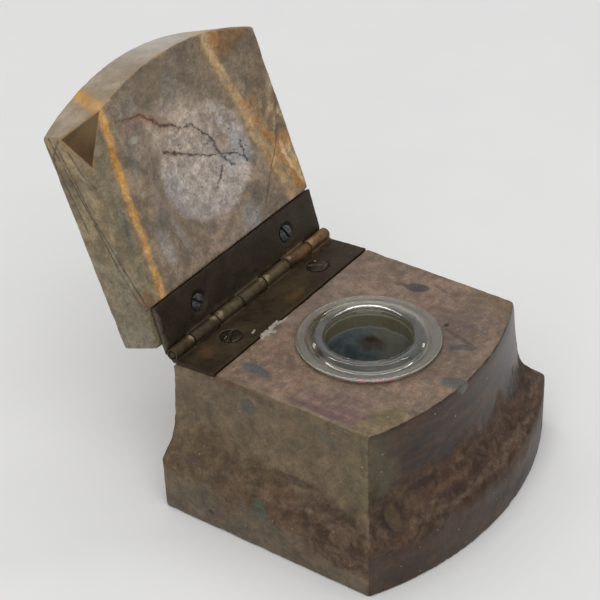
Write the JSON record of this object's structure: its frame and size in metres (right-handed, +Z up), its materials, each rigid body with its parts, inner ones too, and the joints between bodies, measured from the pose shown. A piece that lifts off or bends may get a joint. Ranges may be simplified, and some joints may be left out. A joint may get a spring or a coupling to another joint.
{
  "type": "inkwell",
  "caption": "Stone inkwell: flared base with a curved front, round glass ink cup and a thick stone lid on a brass hinge across the back, standing open.",
  "frame": {"origin": "centre of the base's footprint, on its underside", "axes": "+Z up, -Y towards the curved front, +X to the right seen from the front, along the hinge"},
  "size_m": [0.0798, 0.106, 0.0989],
  "materials": {
    "stone": "polished, worn",
    "lid_stone": "polished, worn",
    "brass": "dark patina",
    "steel": "dull, worn",
    "wood": "bare",
    "glass": "clear, worn",
    "plaster": "matt"
  },
  "bodies": {
    "base": {"stone_base": "stone", "base_hinge_leaf": "brass", "hinge_pin": "brass", "base_screw_left": "steel", "base_screw_right": "steel", "base_plug_left": "wood", "base_plug_right": "wood", "glass_ink_cup": "glass", "plaster_bedding": "plaster"},
    "lid": {"stone_lid": "lid_stone", "lid_hinge_leaf": "brass", "lid_screw_left": "steel", "lid_screw_right": "steel", "lid_plug_left": "wood", "lid_plug_right": "wood"}
  },
  "joints": [
    {"name": "lid_hinge", "type": "hinge", "parent": "base", "child": "lid", "pos_m": [0, 0.0364, 0.0393], "axis": [1, 0, 0], "range_deg": [0, 110.7]}
  ]
}
